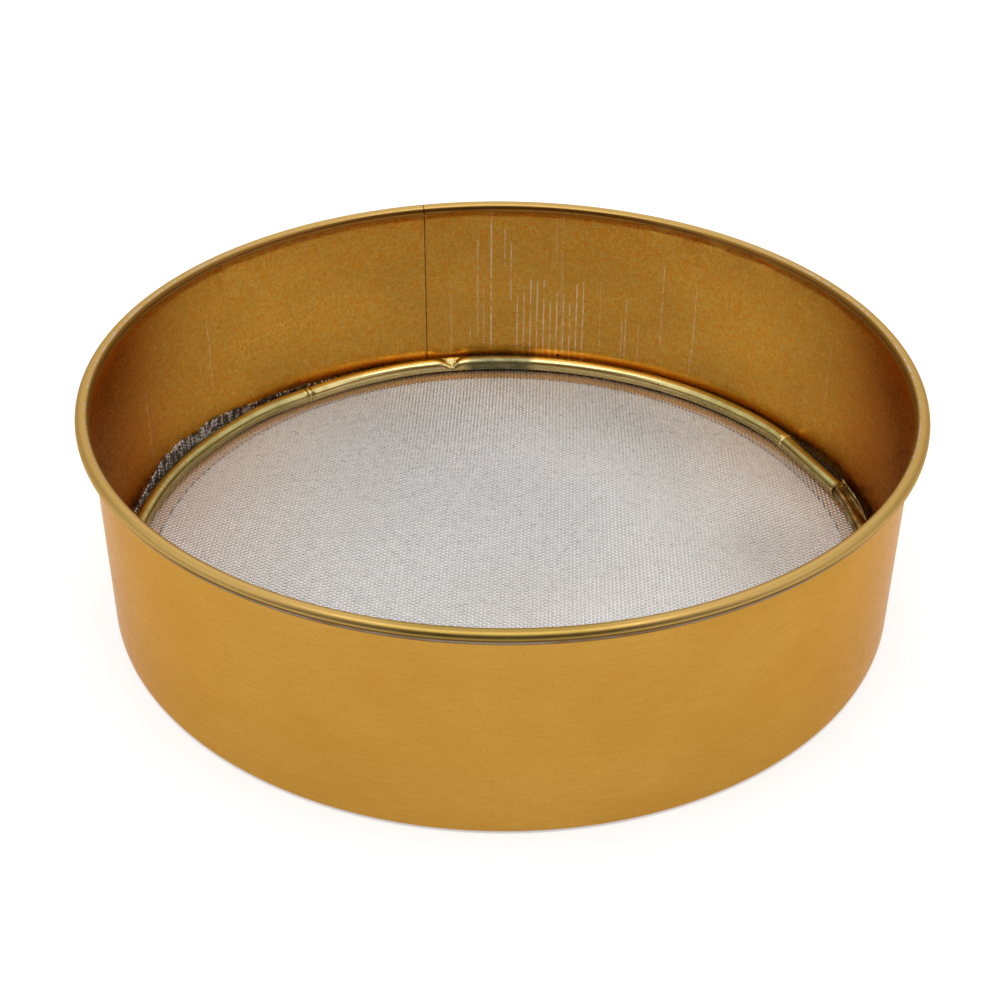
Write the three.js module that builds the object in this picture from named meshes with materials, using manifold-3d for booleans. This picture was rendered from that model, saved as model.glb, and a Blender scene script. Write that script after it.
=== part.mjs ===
// A round soil sieve. A thin sheet hoop has a hollow bead curled outward round its top edge and a
// ledge rolled inward round its bottom edge. A disc of wire cloth lies on the ledge with its rim
// turned up against the hoop, and a sprung tube ring, closed by a short sleeve, holds it down.
// Millimetres, +Z up, origin on the axis at the bottom.

import * as THREE from 'three';
import { mergeVertices } from 'three/addons/utils/BufferGeometryUtils.js';
import Module from 'manifold-3d';

const wasm = await Module();
wasm.setup();

// Hoop
const innerRadius = 100;
const sheet = 0.4;
const height = 57.6;
const beadRadius = 1.7;
const beadCentreRadius = 102;
const beadGapAngle = 70;
const flareHeight = 2.5;
const ledgeRollRadius = 1.5;
const ledgeInnerRadius = 96.8;
const ledgeLipReach = 1.1;

// Wire cloth
const clothThickness = 0.5;
const clothLift = 0.1;
const clothRimGap = 0.15;
const clothRimTop = 7.2;
const clothFlapTop = 11;
const clothFlapFrom = 120;
const clothFlapPeak = 157;
const clothFlapTo = 176;
const clothFlapInset = 0.1;
const clothFlapOverlap = 0.5;
const clothFlapSteps = 16;

// Retaining ring and its sleeve
const ringTubeRadius = 2.2;
const ringTubeWall = 0.4;
const ringCentreRadius = 96.95;
const sleeveFrom = 16;
const sleeveTo = 32.3;
const sleeveRadius = 2.25;
const sleeveWall = 0.3;
const spigotRadius = 1.6;
const spigotLength = 9;
const spigotOverlap = 1.5;
const boreEndAngle = 0.6;
const boreOverrun = 1;
const clearance = 0.3;

// Facets round the hoop, and along the ring
const turns = 80;
const ringSteps = 78;

// How close two corners are when they are one
const weld = 1e-5;

const clothBottom = 2 * ledgeRollRadius + clothLift;
const clothTop = clothBottom + clothThickness;
const ringCentreZ = clothTop + sleeveRadius + clearance / 2;

const radians = THREE.MathUtils.degToRad;

/** Points on an arc from one angle to another, in degrees. */
function arc(centreX, centreY, radius, from, to, steps) {
  const points = [];
  for (let i = 0; i <= steps; i += 1) {
    const angle = radians(from + ((to - from) * i) / steps);
    points.push(new THREE.Vector2(centreX + radius * Math.cos(angle), centreY + radius * Math.sin(angle)));
  }
  return points;
}

/** The closed outline of a sheet of even thickness that follows a middle line. */
function sheetOutline(middle, thickness) {
  const left = [];
  const right = [];
  middle.forEach((point, i) => {
    const before = middle[Math.max(i - 1, 0)];
    const after = middle[Math.min(i + 1, middle.length - 1)];
    const along = after.clone().sub(before).normalize();
    const across = new THREE.Vector2(-along.y, along.x).multiplyScalar(thickness / 2);
    left.push(point.clone().add(across));
    right.unshift(point.clone().sub(across));
  });
  return [...left, ...right, left[0].clone()];
}

/** A profile in radius and height, turned about the Z axis. */
function turned(profile) {
  const geometry = new THREE.LatheGeometry(profile, turns);
  geometry.rotateX(Math.PI / 2);
  return geometry;
}

/** A round rod along a curve. */
function rod(curve, radius, sides, steps) {
  const section = new THREE.Shape(arc(0, 0, radius, 0, 360, sides).slice(0, sides));
  return new THREE.ExtrudeGeometry(section, { extrudePath: curve, steps, curveSegments: 1 });
}

/** A closed three.js geometry as a manifold solid. */
function solid(geometry) {
  const bare = geometry.clone();
  bare.deleteAttribute('normal');
  bare.deleteAttribute('uv');
  const merged = mergeVertices(bare, weld);
  return new wasm.Manifold(new wasm.Mesh({
    numProp: 3,
    vertProperties: new Float32Array(merged.attributes.position.array),
    triVerts: new Uint32Array(merged.index.array),
  }));
}

/** A manifold solid as a three.js geometry. */
function geometryOf(manifold) {
  const mesh = manifold.getMesh();
  const geometry = new THREE.BufferGeometry();
  geometry.setAttribute('position', new THREE.BufferAttribute(mesh.vertProperties, 3));
  geometry.setIndex(new THREE.BufferAttribute(mesh.triVerts, 1));
  geometry.computeVertexNormals();
  return geometry;
}

/** The hoop: one bent strip with the bead at its top and the ledge at its bottom. */
function hoopGeometry() {
  const wallMiddle = innerRadius + sheet / 2;
  const beadMiddle = beadRadius - sheet / 2;
  const beadCentreZ = height - beadRadius;
  const rollMiddle = ledgeRollRadius - sheet / 2;
  const rollCentre = ledgeInnerRadius + ledgeRollRadius;
  const middle = [
    ...arc(beadCentreRadius, beadCentreZ, beadMiddle, -beadGapAngle, 180, 9),
    new THREE.Vector2(wallMiddle, beadCentreZ - flareHeight),
    ...arc(wallMiddle - rollMiddle, ledgeRollRadius, rollMiddle, 0, -90, 3),
    ...arc(rollCentre, ledgeRollRadius, rollMiddle, -90, -270, 5),
    new THREE.Vector2(rollCentre + ledgeLipReach, 2 * ledgeRollRadius - sheet / 2),
  ];
  return turned(sheetOutline(middle, sheet).reverse());
}

/** The height of the cloth's cut edge above the plain rim, from 0 to 1, at an angle in degrees. */
function flapRise(angle) {
  const rising = THREE.MathUtils.smoothstep(angle, clothFlapFrom, clothFlapPeak);
  const falling = 1 - THREE.MathUtils.smoothstep(angle, clothFlapPeak, clothFlapTo);
  return Math.min(rising, falling);
}

/** The stretch of the cloth's rim that stands up above the ring: a flat strip bent round the hoop. */
function flapGeometry(inner) {
  const span = clothFlapTo - clothFlapFrom;
  const strip = new THREE.BoxGeometry(1, 1, 1, clothFlapSteps, 1, 1);
  const place = strip.attributes.position;
  const low = clothRimTop - clothFlapOverlap;
  const foot = low - clothFlapOverlap;
  for (let i = 0; i < place.count; i += 1) {
    const angle = clothFlapFrom + (place.getX(i) + 0.5) * span;
    const depth = clothThickness - 2 * clothFlapInset;
    const radius = inner + clothFlapInset + (0.5 - place.getZ(i)) * depth;
    const top = low + flapRise(angle) * (clothFlapTop - low);
    place.setXYZ(
      i,
      radius * Math.cos(radians(angle)),
      radius * Math.sin(radians(angle)),
      place.getY(i) > 0 ? top : foot,
    );
  }
  return strip;
}

/** The wire cloth as one thin sheet: disc, turned-up rim, and the taller stretch of the rim. */
function clothGeometry() {
  const outer = innerRadius - clothRimGap;
  const inner = outer - clothThickness;
  const profile = [
    new THREE.Vector2(0, clothBottom),
    new THREE.Vector2(outer, clothBottom),
    new THREE.Vector2(outer, clothRimTop),
    new THREE.Vector2(inner, clothRimTop),
    new THREE.Vector2(inner, clothTop),
    new THREE.Vector2(0, clothTop),
  ];
  return geometryOf(solid(turned(profile)).add(solid(flapGeometry(inner))));
}

/** A point on the ring's middle line, at an angle in degrees. */
function ringPoint(angle) {
  return new THREE.Vector3(
    ringCentreRadius * Math.cos(radians(angle)),
    ringCentreRadius * Math.sin(radians(angle)),
    ringCentreZ,
  );
}

/** The ring's middle line, from one angle round to another. */
class RingArc extends THREE.Curve {
  constructor(from, to) {
    super();
    this.from = from;
    this.to = to;
  }

  getPoint(t, target = new THREE.Vector3()) {
    return target.copy(ringPoint(this.from + (this.to - this.from) * t));
  }
}

/** A straight line through the sleeve's axis, between two distances from one of its ends. */
function sleeveLine(end, otherEnd, from, to) {
  const along = otherEnd.clone().sub(end).normalize();
  return new THREE.LineCurve3(
    end.clone().addScaledVector(along, from),
    end.clone().addScaledVector(along, to),
  );
}

/** The open ring: a thin tube with a narrower spigot at each end, inside the sleeve. */
function ringGeometry() {
  const gapAngle = THREE.MathUtils.radToDeg(clearance / ringCentreRadius);
  const from = sleeveTo + gapAngle;
  const to = sleeveFrom + 360 - gapAngle;
  const ends = [ringPoint(sleeveTo), ringPoint(sleeveFrom)];
  let outside = solid(rod(new RingArc(from, to), ringTubeRadius, 10, ringSteps));
  const boreArc = new RingArc(from + boreEndAngle, to - boreEndAngle);
  let inside = solid(rod(boreArc, ringTubeRadius - ringTubeWall, 8, ringSteps));
  ends.forEach((end, i) => {
    const other = ends[1 - i];
    const spigot = sleeveLine(end, other, -spigotOverlap, spigotLength);
    const bore = sleeveLine(end, other, -spigotOverlap, spigotLength + boreOverrun);
    outside = outside.add(solid(rod(spigot, spigotRadius, 10, 1)));
    inside = inside.add(solid(rod(bore, spigotRadius - sleeveWall, 8, 1)));
  });
  return geometryOf(outside.subtract(inside));
}

/** The straight sleeve over the ring's two ends. */
function sleeveGeometry() {
  const line = new THREE.LineCurve3(ringPoint(sleeveFrom), ringPoint(sleeveTo));
  const end = line.getLength() + boreOverrun;
  const bore = sleeveLine(ringPoint(sleeveFrom), ringPoint(sleeveTo), -boreOverrun, end);
  const body = solid(rod(line, sleeveRadius, 12, 1));
  return geometryOf(body.subtract(solid(rod(bore, sleeveRadius - sleeveWall, 12, 1))));
}

function piece(name, geometry, color, roughness) {
  const material = new THREE.MeshStandardMaterial({ color, roughness, metalness: 1 });
  const mesh = new THREE.Mesh(geometry, material);
  mesh.name = name;
  return mesh;
}

const sieve = new THREE.Group();
sieve.add(piece('sieve_frame', hoopGeometry(), 0xc99641, 0.35));
sieve.add(piece('wire_mesh', clothGeometry(), 0xc6c5c1, 0.4));
sieve.add(piece('retaining_ring', ringGeometry(), 0xcdb25a, 0.15));
sieve.add(piece('ring_joint_sleeve', sleeveGeometry(), 0xcdb25a, 0.15));

export default sieve;
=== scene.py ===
"""A round soil sieve with a satin gold hoop, woven wire cloth and a sprung brass tube ring.

Everything is in metres in the CAD's own frame: +Z up, the axis through the origin, the seam at the
back (+Y). Angles round the hoop are in degrees from +X towards +Y.
"""

import math

import bpy
import numpy as np
from mathutils import Matrix, Vector


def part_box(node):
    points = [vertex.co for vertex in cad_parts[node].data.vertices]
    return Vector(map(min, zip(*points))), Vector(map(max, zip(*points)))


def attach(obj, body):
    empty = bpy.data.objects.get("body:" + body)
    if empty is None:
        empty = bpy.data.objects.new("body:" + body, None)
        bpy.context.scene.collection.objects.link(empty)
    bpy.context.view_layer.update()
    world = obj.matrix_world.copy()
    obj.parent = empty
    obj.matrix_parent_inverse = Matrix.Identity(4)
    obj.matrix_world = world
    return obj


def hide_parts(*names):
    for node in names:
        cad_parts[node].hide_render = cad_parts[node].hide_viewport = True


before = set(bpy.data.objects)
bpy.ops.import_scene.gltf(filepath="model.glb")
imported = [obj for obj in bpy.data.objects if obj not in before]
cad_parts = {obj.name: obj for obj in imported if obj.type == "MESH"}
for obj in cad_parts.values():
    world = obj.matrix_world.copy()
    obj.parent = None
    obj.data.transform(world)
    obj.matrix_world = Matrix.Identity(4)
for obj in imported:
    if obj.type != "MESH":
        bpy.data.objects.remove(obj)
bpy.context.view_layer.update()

MM = 0.001
hoop_low, hoop_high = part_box("sieve_frame")
ring_low, ring_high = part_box("retaining_ring")
cloth_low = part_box("wire_mesh")[0]

# Hoop
HEIGHT = hoop_high.z
BEAD_RADIUS = 1.7 * MM
BEAD_CENTRE = hoop_high.x - BEAD_RADIUS
BEAD_Z = HEIGHT - BEAD_RADIUS
BEAD_GAP_ANGLE = 70
SHEET = 0.4 * MM
BEAD_OVERHANG = 0.1 * MM
WALL_MIDDLE = BEAD_CENTRE - BEAD_RADIUS - BEAD_OVERHANG
WALL_INNER = WALL_MIDDLE - SHEET / 2
FLARE_HEIGHT = 2.5 * MM
ROLL_RADIUS = 1.5 * MM
LEDGE_INNER = 96.8 * MM
LIP_REACH = 1.1 * MM
SEAM_ANGLE = 103.6
SEAM_HALF_WIDTH = 0.11 * MM
SEAM_DEPTH = 0.12 * MM

# Height from 0 to 1, angle and width in degrees of each wave in the curl's inner foot
RIM_WAVES = (
    (1.0, 62, 2.6), (0.75, 53, 2.2), (0.45, 43, 2.5), (0.35, 29, 3.0),
    (0.5, 139, 1.4), (0.3, 147, 5.0), (0.25, 96, 3.0),
)
WAVE_IN, WAVE_DOWN = 0.42 * MM, 0.7 * MM
WAVE_FOOT, WAVE_REACH = 1.0 * MM, 1.1 * MM
WALL_WARP = 0.05 * MM

# Retaining ring and its sleeve. The CAD tube has few sides, so its box stops short of the round tube.
TUBE_RADIUS = (ring_high.z - ring_low.z) / 2
RING_Z = (ring_high.z + ring_low.z) / 2
BOX_SHORTFALL = 0.25 * MM
RING_CENTRE = -ring_low.x - TUBE_RADIUS + BOX_SHORTFALL
SLEEVE_FROM, SLEEVE_TO = 16.0, 32.3
SPIGOT_RADIUS = 1.6 * MM
SPIGOT_LENGTH = 9 * MM
TORN_RADIUS = 1.85 * MM
NOTCH_ANGLE = 99.5
NOTCH_TILT, NOTCH_FLOOR = 54, 0.58 * MM
NOTCH_HALF_WIDTH, NOTCH_REACH = 1.6 * MM, 1.7 * MM
GROOVE_DEPTH, GROOVE_WIDTH = 0.35 * MM, 0.2 * MM
# Angle, depth and width of each of the two deep creases
DOUBLE_CREASE = (127.2, 0.30 * MM, 0.28 * MM), (128.1, 0.22 * MM, 0.22 * MM)
# Depth in mm, angle and width in degrees of each stretch where the ring strays inward
RING_DRIFTS = (
    (1.1, 127, 8), (0.5, 114, 7), (0.35, 150, 12), (0.55, 6, 8),
    (0.3, 172, 9), (0.4, 31, 4), (0.3, 230, 20), (0.35, 310, 16),
)
KINK_DEPTH, KINK_WIDTH = 0.035 * MM, 0.30 * MM
KINK_ANGLES = (144.6, 148.8, 155.4, 158.0, 163.4, 166.2, 71.0, 60.0, 48.5)
TUBE_WAVINESS = 0.05 * MM
TUBE_SIDES, TUBE_STEPS, HIDDEN_STEPS = 48, 1700, 6
# Closer stations where the tube is dented: first and last angle, and how many
CLOSE_STATIONS = (NOTCH_ANGLE - 2.2, NOTCH_ANGLE + 2.2, 90), (126.0, 128.8, 40)
TORN_FROM, TORN_TO = 364.0, 376.0
TORN_DEPTH, TORN_SIDE, TORN_SPREAD = 0.8 * MM, 105, 32
TORN_LIP_FROM, TORN_LIP_TO, TORN_LIP_STEPS = 16.8, 4.5, 120
TORN_LIP_HALF_SHEET = 0.1 * MM
MOUTH_LENGTH, MOUTH_LIP = 0.45 * MM, 0.16 * MM
SLEEVE_RADIUS, SLEEVE_WAIST, SLEEVE_BORE = TUBE_RADIUS - 0.02 * MM, 0.05 * MM, 1.9 * MM
SLEEVE_SIDES, SLEEVE_STEPS = 32, 30

# Wire cloth: warp wires run along Y, weft wires along X
WARP_RADIUS, WEFT_RADIUS = 0.20 * MM, 0.13 * MM
RIM_SQUEEZE = 0.5
WARP_SHARE_OF_CRIMP = 0.45
WARP_PITCH = 1.017 * MM
WEFT_PITCH = 0.671 * MM
CLOTH_TURN = math.radians(-1.5)
WARP_FAN, WEFT_LEAN = 0.012, -0.008
WIRE_WANDER, WIRE_QUIVER = 0.10 * MM, 0.06 * MM
CLOTH_LIFT = 0.3 * MM
CLOTH_Z = cloth_low.z + CLOTH_LIFT
FOLD_START = 98.45 * MM
FOLD_RADIUS = 1.2 * MM
RIM_RISE = 3.9 * MM
FLAP_FROM, FLAP_PEAK, FLAP_TO = 118.0, 157.0, 177.0
FLAP_RISE = 4.4 * MM
WIRE_SIDES, WIRE_GROUPS, WIRE_SEED = 5, 6, 7
CUT_JITTER, CUT_WAVES = 0.25, (0.28, 0.22)
# Radii of the cloth over the ledge, where its wires carry a painted reflection of the gold
LEDGE_REFLECTION_BAND = 91.9 * MM, 95.9 * MM

# Camera and table
CAMERA_BACK, CAMERA_UP = 0.36712, 0.26730
CAMERA_PITCH, CAMERA_YAW, CAMERA_ROLL = 33.99, -0.07, 0.436
CAMERA_LENS, CAMERA_SENSOR = 61.5, 36.0
TABLE_HALF = 3.0
# The table's glow, weaker under the sieve as a painted shadow
TABLE_GLOW, SIEVE_SHADOW_GLOW = 0.62, 0.42


# ---------------------------------------------------------------- meshes

def mesh_object(name, points, *face_groups):
    """A smooth-shaded mesh from an array of points and arrays of faces, one array per corner count."""
    mesh = bpy.data.meshes.new(name)
    mesh.vertices.add(len(points))
    mesh.vertices.foreach_set("co", np.asarray(points, np.float32).ravel())
    loops = np.concatenate([group.ravel() for group in face_groups]).astype(np.int32)
    sizes = np.concatenate([np.full(len(group), group.shape[1]) for group in face_groups])
    starts = np.concatenate([[0], np.cumsum(sizes)[:-1]]).astype(np.int32)
    mesh.loops.add(len(loops))
    mesh.loops.foreach_set("vertex_index", loops)
    mesh.polygons.add(len(sizes))
    mesh.polygons.foreach_set("loop_start", starts)
    mesh.update(calc_edges=True)
    mesh.polygons.foreach_set("use_smooth", np.ones(len(sizes), bool))
    obj = bpy.data.objects.new(name, mesh)
    bpy.context.scene.collection.objects.link(obj)
    return obj


def grid_quads(rows, columns, wrap_rows=False, wrap_columns=True):
    """Faces of a grid of points stored row by row."""
    row = np.arange(rows if wrap_rows else rows - 1)[:, None]
    column = np.arange(columns if wrap_columns else columns - 1)[None, :]
    next_row = (row + 1) % rows
    next_column = (column + 1) % columns
    corners = [
        row * columns + column,
        row * columns + next_column,
        next_row * columns + next_column,
        next_row * columns + column,
    ]
    return np.stack([np.broadcast_to(c, corners[0].shape) for c in corners], -1).reshape(-1, 4)


def end_caps(rows, columns):
    """One face over each end of a tube of rows rings."""
    first = np.arange(columns)[::-1]
    last = (rows - 1) * columns + np.arange(columns)
    return np.stack([first, last])


def arc(centre_r, centre_z, radius, start, stop, steps):
    """Points on an arc in radius and height, angles in degrees."""
    angle = np.radians(np.linspace(start, stop, steps + 1))
    return np.stack([centre_r + radius * np.cos(angle), centre_z + radius * np.sin(angle)], -1)


def bump(angle, centre, width):
    """A smooth hill of height 1 round the hoop, angles and width in degrees."""
    away = (angle - centre + 180) % 360 - 180
    return np.exp(-((away / width) ** 2))


def finish_piece(obj, node, material):
    """Gives a piece its material, hides the CAD part it stands in for and puts it in the root body."""
    obj.data.materials.append(material)
    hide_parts(node)
    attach(obj, "root")


# ---------------------------------------------------------------- hoop

def hoop_outline():
    """The closed outline of the hoop's bent strip, in radius and height."""
    bead_middle = BEAD_RADIUS - SHEET / 2
    roll_middle = ROLL_RADIUS - SHEET / 2
    roll_centre = LEDGE_INNER + ROLL_RADIUS
    flare_foot = BEAD_Z - FLARE_HEIGHT
    wall_foot = np.array([[WALL_MIDDLE, ROLL_RADIUS]])
    bead = arc(BEAD_CENTRE, BEAD_Z, bead_middle, -BEAD_GAP_ANGLE, 180, 26)
    share = np.linspace(0, 1, 8)[1:, None]
    ease = share * share * (3 - 2 * share)
    flare = np.concatenate(
        [bead[-1, 0] + (WALL_MIDDLE - bead[-1, 0]) * ease, BEAD_Z + (flare_foot - BEAD_Z) * share], 1
    )
    height = np.linspace(flare_foot, ROLL_RADIUS, 13)[1:-1, None]
    wall = np.concatenate([np.full_like(height, WALL_MIDDLE), height], 1)
    bend = arc(wall_foot[0, 0] - roll_middle, ROLL_RADIUS, roll_middle, 0, -90, 7)
    roll = arc(roll_centre, ROLL_RADIUS, roll_middle, -90, -270, 12)
    lip = np.array([[roll_centre + LIP_REACH, 2 * ROLL_RADIUS - SHEET / 2]])
    middle = np.concatenate([bead, flare, wall, bend, roll, lip])
    along = np.gradient(middle, axis=0)
    along /= np.linalg.norm(along, axis=1)[:, None]
    across = np.stack([-along[:, 1], along[:, 0]], -1) * SHEET / 2
    return np.concatenate([middle + across, (middle - across)[::-1]])


def hoop_angles():
    """Angles of the hoop's stations: even, with a few close ones at the seam."""
    seam = np.degrees(SEAM_HALF_WIDTH / WALL_INNER)
    close = SEAM_ANGLE + seam * np.array([-4.0, -1.0, -0.35, 0.35, 1.0, 4.0])
    even = np.arange(720) * 0.5
    even = even[np.abs(even - SEAM_ANGLE) > seam * 5]
    return np.sort(np.concatenate([even, close]))


def rim_wave(angle):
    """How much lower the curl was finished here than elsewhere, from 0 to about 1."""
    return sum(height * bump(angle, centre, width) for height, centre, width in RIM_WAVES)


def make_hoop(material):
    """The hoop, wavy under its rim, a little untrue in its wall, with its upright seam."""
    outline = hoop_outline()
    angle = hoop_angles()[:, None]
    radius = np.broadcast_to(outline[:, 0], (len(angle), len(outline))).copy()
    height = np.broadcast_to(outline[:, 1], radius.shape).copy()
    # The curl's inner foot hangs lower and further in where the rim is wavy.
    foot = np.exp(-(((height - BEAD_Z + WAVE_FOOT) / WAVE_REACH) ** 2)) * (radius < BEAD_CENTRE)
    radius -= WAVE_IN * foot * rim_wave(angle)
    height -= WAVE_DOWN * foot * rim_wave(angle)
    # The wall isn't quite true between its stiff edges.
    middle = np.sin(np.pi * np.clip(height / HEIGHT, 0, 1)) ** 2 * (np.abs(radius - WALL_MIDDLE) < MM)
    turn = np.radians(angle)
    radius += WALL_WARP * middle * (np.sin(5 * turn + 1) + 0.6 * np.sin(11 * turn + height * 60))
    # The strip's two ends meet in a fine groove.
    away = np.abs((angle - SEAM_ANGLE + 180) % 360 - 180) * math.pi / 180 * WALL_INNER
    groove = SEAM_DEPTH * (away < SEAM_HALF_WIDTH)
    inner_face = (radius < WALL_MIDDLE) & (height > 2 * ROLL_RADIUS)
    outer_face = (radius >= WALL_MIDDLE) & (radius < WALL_MIDDLE + 0.5 * MM) & (height < BEAD_Z)
    radius += groove * inner_face - groove * outer_face
    x = radius * np.cos(turn)
    y = radius * np.sin(turn)
    points = np.stack([x, y, height], -1).reshape(-1, 3)
    quads = grid_quads(len(angle), len(outline), wrap_rows=True)
    hoop = mesh_object("hoop_sheet", points, quads)
    finish_piece(hoop, "sieve_frame", material)


# ---------------------------------------------------------------- retaining ring

def ring_drift(angle):
    """How far the ring's middle line strays from its circle, in metres."""
    return -MM * sum(depth * bump(angle, centre, width) for depth, centre, width in RING_DRIFTS)


def ring_point(angle):
    """Points of the ring's middle line."""
    radius = RING_CENTRE + ring_drift(angle)
    turn = np.radians(angle)
    return np.stack([radius * np.cos(turn), radius * np.sin(turn), np.full_like(turn, RING_Z)], -1)


def notch(angle, side):
    """The pinched notch: the tube's top swoops down to a small sloping plate between two grooves."""
    away = np.abs(np.radians(angle - NOTCH_ANGLE)) * RING_CENTRE
    to_plate = NOTCH_FLOOR / np.maximum(np.cos(np.radians(side - NOTCH_TILT)), 0.1)
    plate = TUBE_RADIUS - np.minimum(TUBE_RADIUS, to_plate)
    half_width = NOTCH_HALF_WIDTH * np.clip((side + 12) / 100, 0.03, 1)
    swoop = np.exp(-np.maximum(away - half_width, 0) / NOTCH_REACH)
    groove = GROOVE_DEPTH * np.exp(-(((away - 0.8 * half_width) / GROOVE_WIDTH) ** 2)) * (plate > 0)
    return 0.93 * plate * swoop + groove


def crease(angle, centre, depth, width):
    """A fine cross crease with a raised lip on each side."""
    away = np.radians(angle - centre) * RING_CENTRE / width
    return depth * (np.exp(-(away**2)) - 0.45 * np.exp(-((np.abs(away) - 2.0) ** 2)))


def torn_valley(angle, side):
    """The collapsed top of the tube just past the sleeve."""
    stretch = np.clip((angle - TORN_FROM) / 4, 0, 1) * np.clip((TORN_TO - angle) / 0.5, 0.45, 1)
    across = np.exp(-(((side - TORN_SIDE) / TORN_SPREAD) ** 2))
    return TORN_DEPTH * stretch * across * (angle < TORN_TO)


def tube_points(centres, radii, dents):
    """Rings of points round a middle line that runs level. Side 0 faces the hoop's axis, 90 is up."""
    along = np.gradient(centres, axis=0)
    along /= np.linalg.norm(along, axis=1)[:, None]
    up = np.array([0.0, 0.0, 1.0])
    inward = np.cross(up, along)
    turn = np.radians(np.linspace(0, 360, TUBE_SIDES, endpoint=False))
    reach = radii[:, None] - dents
    cos = (reach * np.cos(turn))[:, :, None]
    sin = (reach * np.sin(turn))[:, :, None]
    return (centres[:, None, :] + cos * inward[:, None, :] + sin * up).reshape(-1, 3)


def ring_angles():
    """Angles of the ring's stations, closer together at the notch and the deep creases."""
    even = np.linspace(SLEEVE_TO + 0.2, SLEEVE_FROM + 359.8, TUBE_STEPS)
    return np.sort(np.concatenate([even] + [np.linspace(*close) for close in CLOSE_STATIONS]))


def ring_radii(angle):
    """The tube's radius, narrowed at the sleeve and where its wall is torn."""
    from_end = np.minimum(angle - angle[0], angle[-1] - angle) * math.pi / 180 * RING_CENTRE
    neck = np.clip(from_end / (0.5 * MM), 0, 1) ** 0.5
    radii = SPIGOT_RADIUS + (TUBE_RADIUS - SPIGOT_RADIUS) * neck
    torn = np.clip((angle - TORN_FROM - 2) / 6, 0, 1)
    return np.where(angle > TORN_FROM, TUBE_RADIUS + (TORN_RADIUS - TUBE_RADIUS) * torn, radii)


def ring_dents(stations):
    """How far the tube's wall is pushed in at each station and each side."""
    side = (np.linspace(0, 360, TUBE_SIDES, endpoint=False)[None, :] + 120) % 360 - 120
    station = stations[:, None]
    dents = notch(station, side)
    for centre, depth, width in DOUBLE_CREASE:
        dents = dents + crease(station, centre, depth, width)
    for centre in KINK_ANGLES:
        dents = dents + crease(station, centre, KINK_DEPTH, KINK_WIDTH)
    dents = dents + torn_valley(station, side)
    return dents + TUBE_WAVINESS * np.sin(station * 0.21 + side * 0.02) * np.sin(station * 0.057)


def make_ring(material):
    """The open ring, its two ends carried on straight inside the sleeve."""
    ends = ring_point(np.array([SLEEVE_TO, SLEEVE_FROM]))
    chord = ends[1] - ends[0]
    chord /= np.linalg.norm(chord)
    inside = np.linspace(SPIGOT_LENGTH, 0.2 * MM, HIDDEN_STEPS)[:, None]
    angle = ring_angles()
    first, last = ends[0] + chord * inside, ends[1] - chord * inside[::-1]
    centres = np.concatenate([first, ring_point(angle), last])
    hidden = np.ones(HIDDEN_STEPS)
    stations = np.concatenate([hidden * SLEEVE_TO, angle, hidden * (SLEEVE_FROM + 360)])
    radii = np.concatenate([hidden * SPIGOT_RADIUS, ring_radii(angle), hidden * TORN_RADIUS])
    points = tube_points(centres, radii, ring_dents(stations))
    rows = len(stations)
    quads, caps = grid_quads(rows, TUBE_SIDES), end_caps(rows, TUBE_SIDES)
    ring = mesh_object("brass_ring_tube", points, quads, caps)
    finish_piece(ring, "retaining_ring", material)


def make_sleeve(material):
    """The straight ferrule, its two mouths rolled a little proud."""
    ends = ring_point(np.array([SLEEVE_FROM, SLEEVE_TO]))
    length = np.linalg.norm(ends[1] - ends[0])
    at = np.array([0, 0.08, 0.35, 0.7, 1.1, 1.6]) * MOUTH_LENGTH
    lip = np.array([0.75, 0.95, 1.0, 0.75, 0.2, 0.0]) * MOUTH_LIP
    middle = np.linspace(2 * MOUTH_LENGTH, length - 2 * MOUTH_LENGTH, SLEEVE_STEPS)
    waist = -SLEEVE_WAIST * np.sin(np.linspace(0, math.pi, SLEEVE_STEPS))
    place = np.concatenate([at, middle, length - at[::-1]])
    swell = np.concatenate([lip, waist, lip[::-1]])
    outside = SLEEVE_RADIUS + swell
    bore = np.full_like(outside, SLEEVE_BORE)
    place = np.concatenate([place, place[::-1]])
    radii = np.concatenate([outside, bore])
    along = (ends[1] - ends[0]) / length
    centres = ends[0] + along * place[:, None]
    up = np.array([0.0, 0.0, 1.0])
    inward = np.cross(up, along)
    turn = np.linspace(0, 2 * math.pi, SLEEVE_SIDES, endpoint=False)
    around = np.cos(turn)[:, None] * inward + np.sin(turn)[:, None] * up
    points = (centres[:, None, :] + radii[:, None, None] * around[None]).reshape(-1, 3)
    quads = grid_quads(len(place), SLEEVE_SIDES, wrap_rows=True)
    sleeve = mesh_object("ring_ferrule", points, quads)
    finish_piece(sleeve, "ring_joint_sleeve", material)


def make_torn_lip(material):
    """The torn edge of the tube's wall, which leans from the collapsed tube towards the hoop."""
    angle = np.linspace(TORN_LIP_FROM, TORN_LIP_TO, TORN_LIP_STEPS)
    share = np.linspace(0, 1, len(angle))
    ragged = 0.05 * np.sin(share * 41) + 0.03 * np.sin(share * 97 + 1)
    foot_radius = RING_CENTRE + (0.9 - 0.5 * share) * MM
    foot = RING_Z + 1.1 * MM
    edge_radius = WALL_INNER - (1.5 - 0.2 * share + 0.1 * np.sin(share * 9)) * MM
    edge = RING_Z + (2.5 - 1.5 * share**2 + ragged) * MM
    half = TORN_LIP_HALF_SHEET
    across = np.linspace(0, 1, 6)
    turn = np.radians(angle)
    corners = []
    for at, offset in [(t, -half) for t in across] + [(t, half) for t in across[::-1]]:
        r = foot_radius + (edge_radius - foot_radius) * at + offset
        height = foot + (edge - foot) * at**2 - offset
        corners.append(np.stack([r * np.cos(turn), r * np.sin(turn), height], -1))
    points = np.stack(corners, 1).reshape(-1, 3)
    rows, columns = len(angle), len(corners)
    lip = mesh_object("ring_torn_lip", points, grid_quads(rows, columns), end_caps(rows, columns))
    finish_piece(lip, "retaining_ring", material)


# ---------------------------------------------------------------- wire cloth

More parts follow.
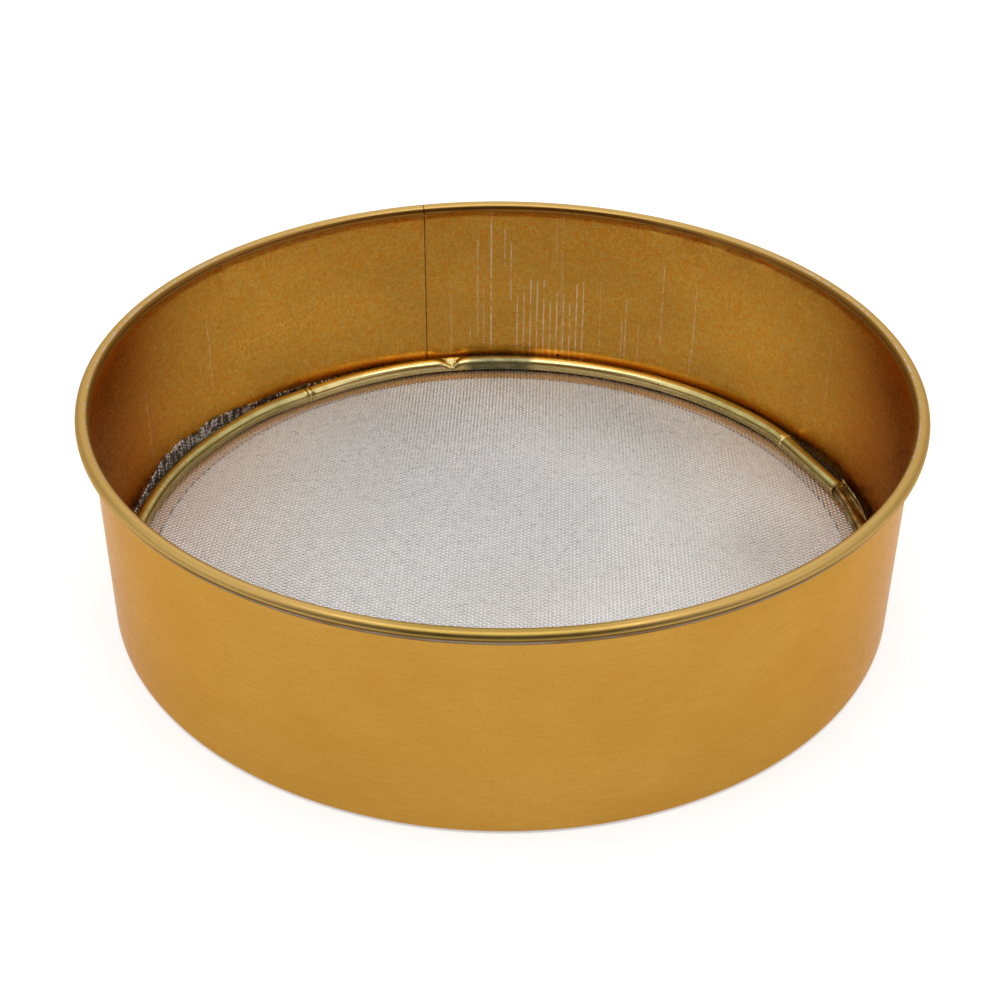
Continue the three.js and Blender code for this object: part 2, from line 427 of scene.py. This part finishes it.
def on_cloth(x, y, lift):
    """A point of the flat cloth, lifted off its middle, on the cloth with its rim turned up."""
    flat = np.hypot(x, y)
    past = flat - FOLD_START
    lift = np.where(past > 0, lift * RIM_SQUEEZE, lift)
    bend = np.clip(past / FOLD_RADIUS, 0, math.pi / 2)
    rise = np.maximum(past - FOLD_RADIUS * math.pi / 2, 0)
    radius = np.where(past > 0, FOLD_START + FOLD_RADIUS * np.sin(bend), flat) - lift * np.sin(bend)
    height = FOLD_RADIUS * (1 - np.cos(bend)) + rise + lift * np.cos(bend)
    scale = radius / np.maximum(flat, 1e-9)
    return np.stack([x * scale, y * scale, CLOTH_Z + height], -1)


def cut_radius(x, y, jitter):
    """How far out the flat cloth was cut, with a ragged flap at the back left."""
    angle = np.degrees(np.arctan2(y, x)) % 360
    turn = np.radians(angle)
    rising = np.clip((angle - FLAP_FROM) / (FLAP_PEAK - FLAP_FROM), 0, 1)
    falling = np.clip((FLAP_TO - angle) / (FLAP_TO - FLAP_PEAK), 0, 1)
    flap = np.minimum(rising, falling)
    flap = flap * flap * (3 - 2 * flap)
    ragged = CUT_WAVES[0] * np.sin(23 * turn) + CUT_WAVES[1] * np.sin(51 * turn + 2) + jitter
    return FOLD_START + RIM_RISE + FLAP_RISE * flap + ragged * MM * (0.35 + flap)


def wire_points(across, along, lift, is_warp, thick, jitter):
    """The rings of points of one wire, or None where it misses the cloth."""
    wander = WIRE_WANDER * np.sin(along * 42 + across * 25)
    wander += WIRE_QUIVER * np.sin(along * 95 - across * 60)
    a = across + wander
    x, y = (a, along) if is_warp else (along, a)
    lean = CLOTH_TURN + (WARP_FAN * x / RING_CENTRE if is_warp else WEFT_LEAN)
    x, y = x - y * np.sin(lean), y + x * np.sin(lean)
    keep = np.hypot(x, y) < cut_radius(x, y, jitter)
    if keep.sum() < 4:
        return None
    x, y, lift = x[keep], y[keep], lift[keep]
    centre = on_cloth(x, y, lift)
    above = on_cloth(x, y, lift + thick)
    ahead = np.gradient(centre, axis=0)
    ahead /= np.linalg.norm(ahead, axis=1)[:, None]
    out = above - centre
    aside = np.cross(ahead, out)
    aside /= np.linalg.norm(aside, axis=1)[:, None]
    out = np.cross(aside, ahead)
    turn = np.linspace(0, 2 * math.pi, WIRE_SIDES, endpoint=False)
    round_wire = np.cos(turn)[:, None, None] * out + np.sin(turn)[:, None, None] * aside
    return (centre + thick * round_wire).transpose(1, 0, 2)


def wires(pitch, crossing_pitch, is_warp, chance):
    """Every wire of one direction, as arrays of rings."""
    reach = FOLD_START + RIM_RISE + FLAP_RISE + MM
    count = int(reach / pitch)
    half_steps = int(2 * reach / crossing_pitch)
    along = np.arange(-half_steps, half_steps + 1) * crossing_pitch / 2
    thick = WARP_RADIUS if is_warp else WEFT_RADIUS
    crimp = (WARP_RADIUS + WEFT_RADIUS) * (WARP_SHARE_OF_CRIMP if is_warp else 1 - WARP_SHARE_OF_CRIMP)
    made = []
    for i in range(-count, count + 1):
        sign = 1 if (i % 2 == 0) == is_warp else -1
        lift = sign * crimp * np.cos(math.pi * along / crossing_pitch)
        jitter = chance.uniform(-CUT_JITTER, CUT_JITTER)
        points = wire_points(i * pitch, along, lift, is_warp, thick, jitter)
        if points is not None:
            made.append(points)
    return made


def join_wires(name, group, material):
    """One piece from several wires."""
    points, quads, caps, start = [], [], [], 0
    for wire in group:
        points.append(wire.reshape(-1, 3))
        quads.append(grid_quads(len(wire), WIRE_SIDES) + start)
        caps.append(end_caps(len(wire), WIRE_SIDES) + start)
        start += len(wire) * WIRE_SIDES
    piece = mesh_object(name, np.concatenate(points), np.concatenate(quads), np.concatenate(caps))
    finish_piece(piece, "wire_mesh", material)


def make_cloth(materials):
    """All wires, warp first, each direction in a few pieces of about equal size."""
    chance = np.random.default_rng(WIRE_SEED)
    sets = {
        "warp": wires(WARP_PITCH, WEFT_PITCH, True, chance),
        "weft": wires(WEFT_PITCH, WARP_PITCH, False, chance),
    }
    for kind, made in sets.items():
        total = np.cumsum([len(wire) for wire in made])
        share = (total - 1) * WIRE_GROUPS // total[-1]
        for number in range(WIRE_GROUPS):
            group = [wire for wire, part in zip(made, share) if part == number]
            join_wires(f"{kind}_wires_{number + 1}", group, materials[kind])


# ---------------------------------------------------------------- materials

class Graph:
    """A material's node graph, with short calls for the nodes used here."""

    def __init__(self, name, metallic, edge_tint=(1, 1, 1, 1)):
        self.material = bpy.data.materials.new(name)
        self.material.use_nodes = True
        self.tree = self.material.node_tree
        self.shader = self.tree.nodes["Principled BSDF"]
        self.shader.inputs["Metallic"].default_value = metallic
        self.shader.inputs["Specular Tint"].default_value = edge_tint
        self.place = self.tree.nodes.new("ShaderNodeTexCoord").outputs["Object"]

    def feed(self, socket, value):
        if isinstance(value, bpy.types.NodeSocket):
            self.tree.links.new(value, socket)
        else:
            socket.default_value = value

    def math(self, operation, *values):
        node = self.tree.nodes.new("ShaderNodeMath")
        node.operation = operation
        for socket, value in zip(node.inputs, values):
            self.feed(socket, value)
        return node.outputs[0]

    def product(self, first, *others):
        for other in others:
            first = self.math("MULTIPLY", first, other)
        return first

    def scaled(self, x, y, z):
        """The place in the frame, each axis times its own number of units per metre."""
        node = self.tree.nodes.new("ShaderNodeVectorMath")
        node.operation = "MULTIPLY"
        self.feed(node.inputs[0], self.place)
        node.inputs[1].default_value = (x, y, z)
        return node.outputs[0]

    def noise(self, scale, detail=2.0, roughness=0.5):
        """Noise from 0 to 1, with a scale for each axis in units per metre."""
        vector = self.scaled(*scale)
        node = self.tree.nodes.new("ShaderNodeTexNoise")
        self.feed(node.inputs["Vector"], vector)
        node.inputs["Scale"].default_value = 1.0
        node.inputs["Detail"].default_value = detail
        node.inputs["Roughness"].default_value = roughness
        return node.outputs["Fac"]

    def span(self, value, low, high, to_low=0.0, to_high=1.0, smooth=False):
        """value from low..high onto to_low..to_high, clamped."""
        node = self.tree.nodes.new("ShaderNodeMapRange")
        if smooth:
            node.interpolation_type = "SMOOTHSTEP"
        for socket, number in zip(node.inputs, (value, low, high, to_low, to_high)):
            self.feed(socket, number)
        return node.outputs[0]

    def band(self, value, low, high, soft):
        """1 between low and high, 0 outside, with soft edges."""
        up = self.span(value, low - soft, low + soft, smooth=True)
        down = self.span(value, high - soft, high + soft, 1.0, 0.0, smooth=True)
        return self.math("MULTIPLY", up, down)

    def mix(self, share, first, second):
        node = self.tree.nodes.new("ShaderNodeMix")
        node.data_type = "RGBA"
        for index, value in ((0, share), (6, first), (7, second)):
            self.feed(node.inputs[index], value)
        return node.outputs[2]

    def bump(self, height, distance, strength=1.0):
        node = self.tree.nodes.new("ShaderNodeBump")
        self.feed(node.inputs["Height"], height)
        node.inputs["Distance"].default_value = distance
        node.inputs["Strength"].default_value = strength
        return node.outputs["Normal"]

    def round_the_hoop(self):
        """(radius, angle in degrees from -180 to 180, height) of the place."""
        split = self.tree.nodes.new("ShaderNodeSeparateXYZ")
        self.feed(split.inputs[0], self.place)
        x, y, z = split.outputs
        square = self.math("ADD", self.math("MULTIPLY", x, x), self.math("MULTIPLY", y, y))
        angle = self.math("DEGREES", self.math("ARCTAN2", y, x))
        return self.math("SQRT", square), angle, z

    def from_front(self, angle):
        """Degrees round the hoop away from its front, 0 to 180."""
        return self.math("PINGPONG", self.math("ADD", angle, 90.0), 180.0)

    def finish(self, colour, roughness, normal=None):
        self.feed(self.shader.inputs["Base Color"], colour)
        self.feed(self.shader.inputs["Roughness"], roughness)
        if normal is not None:
            self.feed(self.shader.inputs["Normal"], normal)
        return self.material


GOLD = (0.47, 0.245, 0.042, 1)
GOLD_DEEP = (0.41, 0.190, 0.024, 1)
GOLD_PALE = (0.53, 0.300, 0.060, 1)
INSIDE_ORANGE = (0.68, 0.270, 0.020, 1)
INSIDE_YELLOW = (0.66, 0.385, 0.070, 1)
INSIDE_SIDE_SHADE = (0.50, 0.180, 0.028, 1)
BEAD_GOLD = (0.47, 0.300, 0.092, 1)
# Painted shade for the very front of the bead
BEAD_FRONT_SHADE = (0.33, 0.215, 0.050, 1)
# Painted shade low on the bead's front
BEAD_LOW_SHADE = (0.13, 0.065, 0.015, 1)
BEAD_SHADE = (0.27, 0.13, 0.025, 1)
BARE_METAL = (0.46, 0.45, 0.46, 1)
SCRAPE_WITH_PAINTED_GLINT = (0.92, 0.80, 0.60, 1)
SCRAPE_GREY = (0.24, 0.215, 0.18, 1)
SEAM_DARK = (0.035, 0.018, 0.008, 1)
GOLD_EDGE_TINT = (0.95, 0.74, 0.55, 1)

# Upright scrapes on the inside: angle, lowest and highest point in mm, strength
SCRAPES = (
    (92.15, 10, 56, 0.9), (89.8, 38, 50, 0.6), (88.7, 26, 45, 0.7), (94.5, 14, 46, 0.5),
    (95.85, 13, 20, 0.5), (93.45, 10, 30, 0.35), (99.2, 9, 34, 0.3), (79.8, 12, 57, 0.25),
    (80.85, 40, 52, 0.3), (68.2, 10, 30, 0.5), (68.9, 10, 22, 0.4), (65.8, 10, 22, 0.4),
    (61.7, 18, 44, 0.45), (55.5, 14, 38, 0.5), (55.9, 9, 18, 0.45), (146.0, 20, 42, 0.4),
    (163.5, 14, 34, 0.5), (26.0, 24, 44, 0.25), (72.9, 12, 40, 0.25),
)
COMB_FIRST, COMB_SPACING, COMB_COUNT = 75.95, 1.16, 11
COMB_STRENGTH = 0.8
SCRAPE_HALF_WIDTH, SCRAPE_STRENGTH = 0.07, 0.75
FLECK_ANGLES = 80.0, 80.5
FLECK_ANGLE_SOFT, FLECK_HEIGHT_SOFT = 0.05, 0.1 * MM
FLECK_HEIGHTS = 7.4 * MM, 8.2 * MM

# Zones of the bead: degrees round its section, and degrees round the hoop away from the front
LOW_SHADE_LEAN, SCRAPED_LEAN = (4, 16), (-14, -2)
SHOULDER_LEAN, WEAR_LEAN = (128, 140), (108, 122)
VERY_FRONT, NEAR_FRONT, TOWARDS_BACK = (8, 18), (35, 60), (110, 150)
WEAR_STRETCH, SATIN_STRETCH, SIDE_SHADE_STRETCH = (60, 130), (55, 135), (60, 108)

# Scales of the gold's noises, in units per metre along X, Y and Z
CLOUDS, GRAIN, MOTTLE = (38, 38, 60), (1900, 1900, 2300), (1500, 1500, 650)
BRUSHING, UNEVENNESS = (160, 160, 2600), (300, 300, 900)
COMB_TOPS, SCRAPE_BREAKS = (420, 420, 0), (700, 700, 420)
WEAR_BREAKS, BEAD_BREAKS = (900, 900, 900), (150, 150, 300)


def scratches(graph, angle, height, inside):
    """Thin upright scrapes down to bare metal on the inside, the evenly spaced ones from a roller."""
    near = graph.math("PINGPONG", graph.math("SUBTRACT", angle, COMB_FIRST), COMB_SPACING / 2)
    tooth = graph.span(near, SCRAPE_HALF_WIDTH, 2 * SCRAPE_HALF_WIDTH, 1.0, 0.0)
    comb_last = COMB_FIRST + COMB_SPACING * (COMB_COUNT - 1)
    reach = graph.band(angle, COMB_FIRST - 0.3, comb_last + 0.3, 0.05)
    top = graph.span(graph.noise(COMB_TOPS, detail=1.0), 0.35, 0.65, 24 * MM, 34 * MM)
    below = graph.math("LESS_THAN", height, top)
    mask = graph.product(tooth, reach, below, COMB_STRENGTH)
    for at, low, high, strength in SCRAPES:
        across = graph.math("ABSOLUTE", graph.math("SUBTRACT", angle, at))
        line = graph.span(across, SCRAPE_HALF_WIDTH, 2 * SCRAPE_HALF_WIDTH, strength, 0.0)
        line = graph.product(line, graph.band(height, low * MM, high * MM, 1.5 * MM))
        mask = graph.math("MAXIMUM", mask, line)
    breaks = graph.span(graph.noise(SCRAPE_BREAKS), 0.36, 0.54, 0.15, 1.0)
    return graph.product(mask, breaks, inside)


def bead_lean(graph, radius, height):
    """The angle round the bead's section: 0 faces out, 90 up, 180 in."""
    across = graph.math("SUBTRACT", radius, BEAD_CENTRE)
    up = graph.math("SUBTRACT", height, BEAD_Z)
    return graph.math("DEGREES", graph.math("ARCTAN2", up, across))


def rim_wear(graph, lean, from_front):
    """A broken bare line along the crown of the bead, strongest at the sides."""
    line = graph.band(lean, *WEAR_LEAN, 6)
    sides = graph.band(from_front, *WEAR_STRETCH, 15)
    breaks = graph.span(graph.noise(WEAR_BREAKS, detail=3.0), 0.46, 0.60, 0.0, 0.8)
    return graph.product(line, sides, breaks)


def bead_colour(graph, lean, from_front):
    """The bead: painted shade at the very front, on its low front and on its inner shoulder, scraped to
    grey below.
    """
    near_front = graph.span(from_front, *NEAR_FRONT, 1.0, 0.0, smooth=True)
    # Painted shade: the very front of the bead is darkened, standing in for a weaker highlight there.
    front_shade = graph.span(from_front, *VERY_FRONT, 0.9, 0.0, smooth=True)
    colour = graph.mix(front_shade, BEAD_GOLD, BEAD_FRONT_SHADE)
    # Painted shade on the bead's inner shoulder, away from the front.
    past = graph.math("SUBTRACT", lean, graph.span(from_front, *TOWARDS_BACK, *SHOULDER_LEAN))
    shoulder = graph.product(graph.span(past, -3, 5), graph.math("SUBTRACT", 1.0, near_front))
    colour = graph.mix(shoulder, colour, BEAD_SHADE)
    # Painted shade: the low front of the bead, where it curls under towards the wall, is darkened to
    # brown.
    low = graph.product(graph.span(lean, *LOW_SHADE_LEAN, 1.0, 0.0, smooth=True), near_front)
    colour = graph.mix(low, colour, BEAD_LOW_SHADE)
    breaks = graph.span(graph.noise(BEAD_BREAKS, detail=3.0), 0.34, 0.60, 0.35, 1.0)
    scrape = graph.product(graph.span(lean, *SCRAPED_LEAN, 1.0, 0.0, smooth=True), near_front, breaks)
    return graph.mix(scrape, colour, SCRAPE_GREY)


def dark_marks(graph, colour, angle, height, inside):
    """The seam's dark line, and one fleck of dirt low on the inside."""
    across = graph.band(angle, *FLECK_ANGLES, FLECK_ANGLE_SOFT)
    fleck = graph.product(across, inside, graph.band(height, *FLECK_HEIGHTS, FLECK_HEIGHT_SOFT))
    colour = graph.mix(fleck, colour, SEAM_DARK)
    from_seam = graph.math("ABSOLUTE", graph.math("SUBTRACT", angle, SEAM_ANGLE))
    half_seam = math.degrees(SEAM_HALF_WIDTH / WALL_INNER)
    seam = graph.span(from_seam, 1.1 * half_seam, 1.6 * half_seam, 0.92, 0.0)
    return graph.mix(seam, colour, SEAM_DARK)


def gold_material():
    """Satin gold coating: brushed outside, mottled orange inside and lightened there as painted light,
    worn and dulled on the bead, with painted shade inside at both sides and on the bead.
    """
    graph = Graph("satin_gold_sheet", metallic=1.0, edge_tint=GOLD_EDGE_TINT)
    radius, angle, height = graph.round_the_hoop()
    bead_foot = graph.span(
        radius, WALL_MIDDLE + 0.25 * MM, WALL_MIDDLE + 0.45 * MM, BEAD_Z - 0.2 * MM, BEAD_Z - 1.9 * MM
    )
    on_wall = graph.math("LESS_THAN", height, bead_foot)
    inside = graph.product(graph.math("LESS_THAN", radius, WALL_MIDDLE), on_wall)
    lean = bead_lean(graph, radius, height)
    from_front = graph.from_front(angle)
    cloud = graph.noise(CLOUDS, detail=3.0)
    grain = graph.noise(GRAIN)
    mottle = graph.noise(MOTTLE, detail=3.0, roughness=0.7)
    brushing = graph.noise(BRUSHING, detail=3.0, roughness=0.65)
    outer = graph.mix(graph.span(cloud, 0.35, 0.65, 0.1, 0.6), GOLD, GOLD_PALE)
    outer = graph.mix(graph.span(brushing, 0.40, 0.75, 0.0, 0.45), outer, GOLD_DEEP)
    outer = graph.mix(graph.span(grain, 0.45, 0.75, 0.0, 0.5), outer, GOLD_DEEP)
    # Painted light: the inside's orange and yellow are lighter than the outer gold, standing in for
    # light the inner wall gets; the mottling is the coating's own.
    inner = graph.mix(graph.span(mottle, 0.40, 0.60), INSIDE_ORANGE, INSIDE_YELLOW)
    inner = graph.mix(graph.span(cloud, 0.35, 0.65, 0.0, 0.3), inner, GOLD)
    # Painted shade: the inner wall is darker at both sides.
    inner = graph.mix(graph.band(from_front, *SIDE_SHADE_STRETCH, 12), inner, INSIDE_SIDE_SHADE)
    colour = graph.mix(inside, outer, inner)
    on_bead = graph.math("SUBTRACT", 1.0, on_wall)
    colour = graph.mix(on_bead, colour, bead_colour(graph, lean, from_front))
    # The scrapes are real bare metal, painted brighter than bare metal as a painted highlight of the
    # light they scatter.
    scraped = graph.product(scratches(graph, angle, height, inside), SCRAPE_STRENGTH)
    colour = graph.mix(scraped, colour, SCRAPE_WITH_PAINTED_GLINT)
    worn = graph.product(rim_wear(graph, lean, from_front), on_bead)
    colour = graph.mix(worn, colour, BARE_METAL)
    colour = dark_marks(graph, colour, angle, height, inside)
    uneven = graph.span(graph.noise(UNEVENNESS, detail=3.0), 0.3, 0.7, 0.27, 0.36)
    satin = graph.product(on_bead, graph.band(from_front, *SATIN_STRETCH, 15), 0.18)
    roughness = graph.math("ADD", uneven, satin)
    roughness = graph.math("SUBTRACT", roughness, graph.product(inside, 0.03))
    relief = graph.math("ADD", graph.product(brushing, 0.6), graph.product(grain, 0.4))
    return graph.finish(colour, roughness, graph.bump(relief, 0.012 * MM, 0.5))


BRASS = (0.72, 0.61, 0.28, 1)
BRASS_DULL = (0.60, 0.50, 0.21, 1)
BRASS_OLIVE_SHADE = (0.33, 0.28, 0.095, 1)
BRASS_GREEN = (0.19, 0.18, 0.085, 1)
BRASS_TORN_SHADE = (0.16, 0.10, 0.03, 1)

# Stretches of the ring, in degrees
DULL_BESIDE_NOTCH = 84.5, 96.5
SHADED_LEFT = 122, 136
SHADED_RIGHT = 46, 62
BRIGHT_MOUTHS = (31.9, 32.5), (15.8, 16.3)
TORN_END_SHADE = 3.0, 16.0

# Scales of the brass's noises
TARNISH, DRAW_LINES, SPECKLE = (260, 260, 500), (120, 120, 5200), (1500, 1500, 1500)


def brass_material():
    """Drawn brass tube, polished where it was handled, tarnished beside the notch, with painted shade
    darkening both sides to olive and the collapsed torn end to brown.
    """
    graph = Graph("polished_brass_tube", metallic=1.0)
    angle = graph.round_the_hoop()[1]
    tarnish = graph.noise(TARNISH, detail=4.0)
    drawn = graph.noise(DRAW_LINES)
    speckle = graph.noise(SPECKLE)
    beside_notch = graph.band(angle, *DULL_BESIDE_NOTCH, 1.2)
    # Painted shade: both sides of the ring are darkened to olive, standing in for the darker
    # surroundings the tube reflects there; the sleeve's mouths are left out of it.
    left = graph.span(angle, *SHADED_LEFT, 0.0, 0.85, smooth=True)
    right = graph.span(angle, *SHADED_RIGHT, 0.85, 0.0, smooth=True)
    mouths = [graph.band(angle, *mouth, 0.1) for mouth in BRIGHT_MOUTHS]
    rims = graph.math("MAXIMUM", *mouths)
    sides = graph.product(graph.math("MAXIMUM", left, right), graph.span(angle, -30, 0))
    sides = graph.math("SUBTRACT", sides, rims)
    torn = graph.band(angle, *TORN_END_SHADE, 0.2)
    patchy = graph.span(tarnish, 0.35, 0.65, 0.75, 1.0)
    colour = graph.mix(graph.span(tarnish, 0.35, 0.7), BRASS, BRASS_DULL)
    colour = graph.mix(graph.product(sides, patchy), colour, BRASS_OLIVE_SHADE)
    colour = graph.mix(graph.product(beside_notch, patchy), colour, BRASS_GREEN)
    # Painted shade: the collapsed torn end is darkened to brown in its hollow.
    torn_shade = graph.product(torn, graph.span(tarnish, 0.4, 0.6, 0.3, 0.9))
    colour = graph.mix(torn_shade, colour, BRASS_TORN_SHADE)
    flecks = graph.product(graph.span(speckle, 0.60, 0.70, 0.0, 0.8), beside_notch)
    colour = graph.mix(flecks, colour, BARE_METAL)
    roughness = graph.span(graph.math("ADD", tarnish, drawn), 0.7, 1.3, 0.11, 0.24)
    aged = graph.math("MAXIMUM", beside_notch, graph.product(sides, 0.6))
    roughness = graph.math("ADD", roughness, graph.product(aged, 0.20))
    return graph.finish(colour, roughness, graph.bump(drawn, 0.006 * MM, 0.4))


# Dark, light, warm, and over the ledge, the last a painted reflection of the gold. The warp colours are
# painted lighter and the weft colours darker: lit and shaded copies of one steel.
WARP_COLOURS = (
    (0.88, 0.87, 0.86, 1),
    (0.98, 0.97, 0.96, 1),
    (0.84, 0.80, 0.76, 1),
    (0.80, 0.60, 0.42, 1),
)
WEFT_COLOURS = (
    (0.48, 0.48, 0.475, 1),
    (0.62, 0.615, 0.61, 1),
    (0.50, 0.475, 0.45, 1),
    (0.44, 0.30, 0.185, 1),
)
WIRE_EDGE_SHADE = (0.26, 0.235, 0.22, 1)
EDGE_SHADE_WIDTH = 0.55 * MM
REFLECTION_FROM_AXIS, REFLECTION_STRETCH = (45 * MM, 90 * MM), (55, 125)

# Scales of the wires' noises
WIRE_SHADE, WIRE_PATCHES = (700, 700, 700), (22, 22, 22)
SHADE_GAP_STREAKS, WIRE_RELIEF = (1100, 1100, 240), (2600, 2600, 2600)
# Painted shade colour, used under the ring and on the standing rim
WIRE_PAINTED_SHADE = (0.075, 0.052, 0.034, 1)


def steel_material(name, colours):
    """Steel wire with a painted reflection of the gold hoop over the ledge and at both sides, and
    painted shade along the ledge's inner edge, under the ring and where the rim stands up.
    """
    dark, light, warm, gold_reflection = colours
    graph = Graph(name, metallic=1.0)
    radius, angle, height = graph.round_the_hoop()
    shade = graph.noise(WIRE_SHADE)
    patch = graph.noise(WIRE_PATCHES)
    streaks = graph.noise(SHADE_GAP_STREAKS, detail=1.0)
    colour = graph.mix(graph.span(shade, 0.35, 0.65), dark, light)
    colour = graph.mix(graph.span(patch, 0.5, 0.75, 0.0, 0.35), colour, warm)
    from_front = graph.from_front(angle)
    # Painted reflection: the wires are warmed towards the wall at both sides and over the ledge, as if
    # reflecting the gold hoop.
    outward = graph.span(radius, *REFLECTION_FROM_AXIS, 0.0, 0.34)
    at_sides = graph.product(graph.band(from_front, *REFLECTION_STRETCH, 25), outward)
    colour = graph.mix(at_sides, colour, gold_reflection)
    colour = graph.mix(graph.band(radius, *LEDGE_REFLECTION_BAND, 0.15 * MM), colour, gold_reflection)
    # Painted shade: a thin dark line along the ledge's inner edge.
    edge_shade = graph.band(radius, LEDGE_REFLECTION_BAND[0] - EDGE_SHADE_WIDTH, LEDGE_REFLECTION_BAND[0], 0.1 * MM)
    colour = graph.mix(edge_shade, colour, WIRE_EDGE_SHADE)
    # Painted shade: the wires under the ring are darkened almost to brown.
    under_ring = graph.span(radius, LEDGE_REFLECTION_BAND[1], LEDGE_REFLECTION_BAND[1] + 0.4 * MM, 0.0, 0.95)
    colour = graph.mix(under_ring, colour, WIRE_PAINTED_SHADE)
    # Painted shade: where the rim stands up the wires are darkened to brown, except in lighter streaks
    # in the flap.
    shade_streaks = graph.span(streaks, 0.50, 0.57, 0.97, 0.05)
    raised = graph.span(height, CLOTH_Z + 0.7 * MM, CLOTH_Z + 1.6 * MM)
    from_right = graph.math("ABSOLUTE", angle)
    away_from_flap = graph.span(from_right, FLAP_FROM - 4, FLAP_FROM + 4, 1.0, 0.0)
    standing = graph.mix(graph.math("MAXIMUM", shade_streaks, away_from_flap), warm, WIRE_PAINTED_SHADE)
    colour = graph.mix(raised, colour, standing)
    roughness = graph.span(shade, 0.3, 0.7, 0.26, 0.38)
    drawn = graph.noise(WIRE_RELIEF, detail=1.0)
    return graph.finish(colour, roughness, graph.bump(drawn, 0.004 * MM, 0.4))


TABLE_DARK = (0.49, 0.49, 0.485, 1)
TABLE_LIGHT = (0.51, 0.51, 0.505, 1)
TABLE_FIBRE = (60, 60, 60)


def floor_material():
    """A white table with a little light coming through it, so that shadows on it stay faint."""
    graph = Graph("white_lit_table", metallic=0.0)
    fibre = graph.noise(TABLE_FIBRE, detail=3.0)
    colour = graph.mix(graph.span(fibre, 0.3, 0.7), TABLE_DARK, TABLE_LIGHT)
    graph.shader.inputs["Emission Color"].default_value = (1, 1, 1, 1)
    from_axis = graph.round_the_hoop()[0]
    # Painted shadow: the table glows less under the sieve.
    glow = graph.span(from_axis, WALL_INNER, WALL_INNER + SHEET, SIEVE_SHADOW_GLOW, TABLE_GLOW)
    graph.feed(graph.shader.inputs["Emission Strength"], glow)
    return graph.finish(colour, 0.9)


# ---------------------------------------------------------------- stage

def make_floor():
    half = TABLE_HALF
    corners = np.array([(-half, -half, 0), (half, -half, 0), (half, half, 0), (-half, half, 0)])
    corners[:, 2] = hoop_low.z - 0.02 * MM
    floor = mesh_object("floor", corners, np.array([[0, 1, 2, 3]]))
    floor.data.materials.append(floor_material())


def make_softbox(name, place, aim, size, watts):
    light = bpy.data.lights.new(name, "AREA")
    light.shape = "RECTANGLE"
    light.size, light.size_y = size
    light.energy = watts
    lamp = bpy.data.objects.new(name, light)
    lamp.location = place
    lamp.rotation_mode = "QUATERNION"
    lamp.rotation_quaternion = (Vector(aim) - Vector(place)).to_track_quat("-Z", "Y")
    bpy.context.scene.collection.objects.link(lamp)


def facing(tree, direction, toward, low, high, at_low, at_high):
    """A smooth step on how nearly a direction of the room faces toward."""
    dot = tree.nodes.new("ShaderNodeVectorMath")
    dot.operation = "DOT_PRODUCT"
    tree.links.new(direction, dot.inputs[0])
    dot.inputs[1].default_value = Vector(toward).normalized()
    step = tree.nodes.new("ShaderNodeMapRange")
    step.interpolation_type = "SMOOTHSTEP"
    for socket, number in zip(list(step.inputs)[1:], (low, high, at_low, at_high)):
        socket.default_value = number
    tree.links.new(dot.outputs["Value"], step.inputs[0])
    return step.outputs[0]


def make_room():
    """A pale room: bright overhead and low at the back, dim at the sides, dark behind the camera."""
    world = bpy.data.worlds.new("room")
    bpy.context.scene.world = world
    world.use_nodes = True
    tree = world.node_tree
    direction = tree.nodes.new("ShaderNodeTexCoord").outputs["Generated"]
    overhead = facing(tree, direction, (0, 0, 1), 0.2, 0.9, 0.32, 1.15)
    back = facing(tree, direction, (0, 1, 0.25), 0.45, 0.95, 0.0, 0.55)
    dark = facing(tree, direction, (0, -0.82, 0.57), 0.62, 0.9, 1.0, 0.22)
    total = tree.nodes.new("ShaderNodeMath")
    total.operation = "ADD"
    tree.links.new(overhead, total.inputs[0])
    tree.links.new(back, total.inputs[1])
    shaded = tree.nodes.new("ShaderNodeMath")
    shaded.operation = "MULTIPLY"
    tree.links.new(total.outputs[0], shaded.inputs[0])
    tree.links.new(dark, shaded.inputs[1])
    background = tree.nodes["Background"]
    background.inputs["Color"].default_value = (1.0, 0.995, 0.985, 1)
    tree.links.new(shaded.outputs[0], background.inputs["Strength"])


def make_camera():
    """A camera in front of the sieve that looks down at it, very slightly tilted sideways."""
    data = bpy.data.cameras.new("camera")
    data.sensor_width = CAMERA_SENSOR
    data.lens = CAMERA_LENS
    data.clip_start, data.clip_end = 0.01, 20
    camera = bpy.data.objects.new("camera", data)
    bpy.context.scene.collection.objects.link(camera)
    pitch, yaw, roll = (math.radians(a) for a in (CAMERA_PITCH, CAMERA_YAW, CAMERA_ROLL))
    ahead = Vector((math.sin(yaw) * math.cos(pitch), math.cos(yaw) * math.cos(pitch), -math.sin(pitch)))
    right = Vector((math.cos(yaw), -math.sin(yaw), 0))
    up = right.cross(ahead)
    level_right = right * math.cos(roll) + up * math.sin(roll)
    level_up = up * math.cos(roll) - right * math.sin(roll)
    turn = Matrix((level_right, level_up, -ahead)).transposed().to_4x4()
    camera.matrix_world = Matrix.Translation((0, -CAMERA_BACK, CAMERA_UP)) @ turn
    bpy.context.scene.camera = camera


def make_lights():
    make_softbox("overhead", (0, -0.35, 0.9), (0, -0.35, 0), (0.9, 0.66), 3.4)
    make_softbox("left_panel", (-0.95, -0.1, 0.45), (0, 0, 0.05), (0.9, 0.8), 1.2)
    make_softbox("right_panel", (0.95, -0.1, 0.45), (0, 0, 0.05), (0.9, 0.8), 1.1)


make_camera()
make_room()
make_lights()
make_floor()
brass = brass_material()
make_hoop(gold_material())
make_ring(brass)
make_sleeve(brass)
make_torn_lip(brass)
# Warp and weft are the same steel; their different colours are painted light and shade.
make_cloth({
    "warp": steel_material("warp_wire_painted_light", WARP_COLOURS),
    "weft": steel_material("weft_wire_painted_shade", WEFT_COLOURS),
})
bpy.context.scene.view_settings.view_transform = "Standard"
